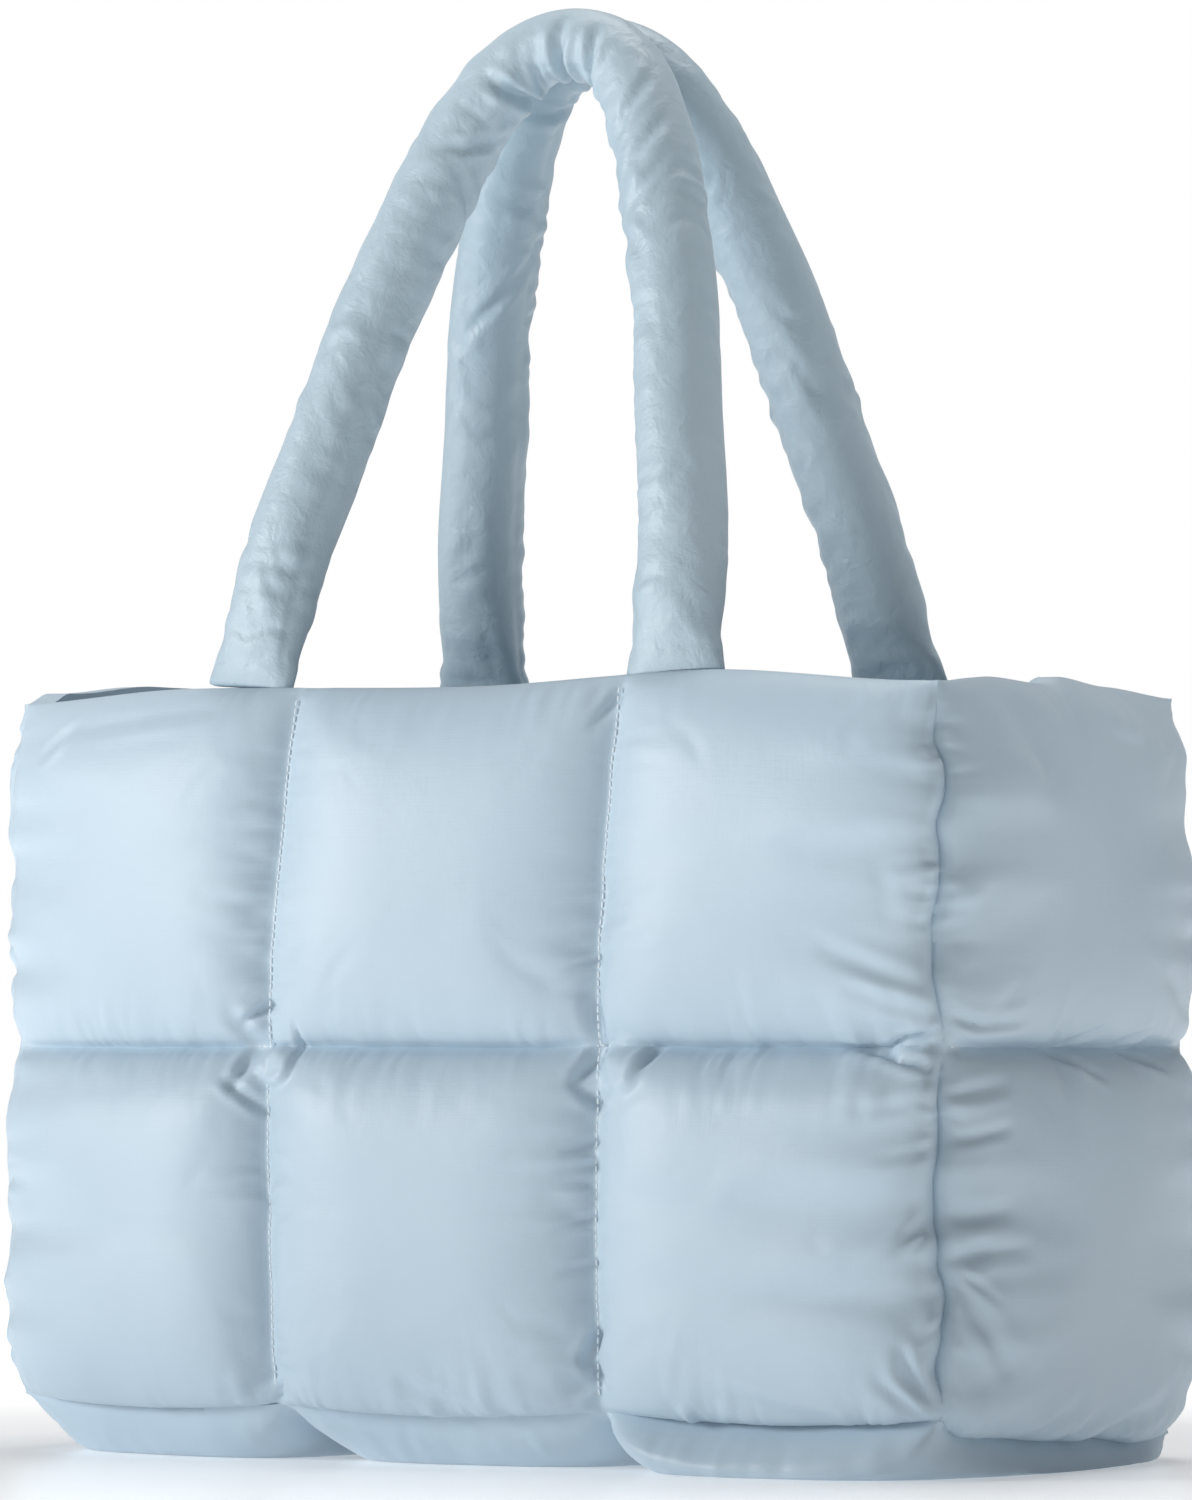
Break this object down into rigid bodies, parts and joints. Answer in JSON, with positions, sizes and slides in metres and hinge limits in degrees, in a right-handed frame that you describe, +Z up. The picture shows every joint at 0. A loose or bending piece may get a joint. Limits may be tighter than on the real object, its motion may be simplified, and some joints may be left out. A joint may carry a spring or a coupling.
{
  "type": "puffer tote bag",
  "caption": "Soft quilted tote bag with padded square puffs, an open mouth, a padded base and stuffed tube carry handles that stand up over the rim.",
  "frame": {"origin": "on the surface that the bag stands on, under the middle of its outer box", "axes": "+X along the bag's length, towards the end that the picture shows; -Y out of the front; +Z up"},
  "size_m": [0.4606, 0.2354, 0.5511],
  "materials": {
    "quilted_nylon": "pale blue woven nylon with a soft satin sheen, quilted over wadding",
    "handle_nylon": "the same pale blue woven nylon, drawn tight over a stuffed tube"
  },
  "bodies": {
    "root": {"front_panel": "quilted_nylon", "right_panel": "quilted_nylon", "back_panel": "quilted_nylon", "left_panel": "quilted_nylon", "base_panel": "quilted_nylon", "front_handle": "handle_nylon", "back_handle": "handle_nylon"}
  },
  "joints": []
}
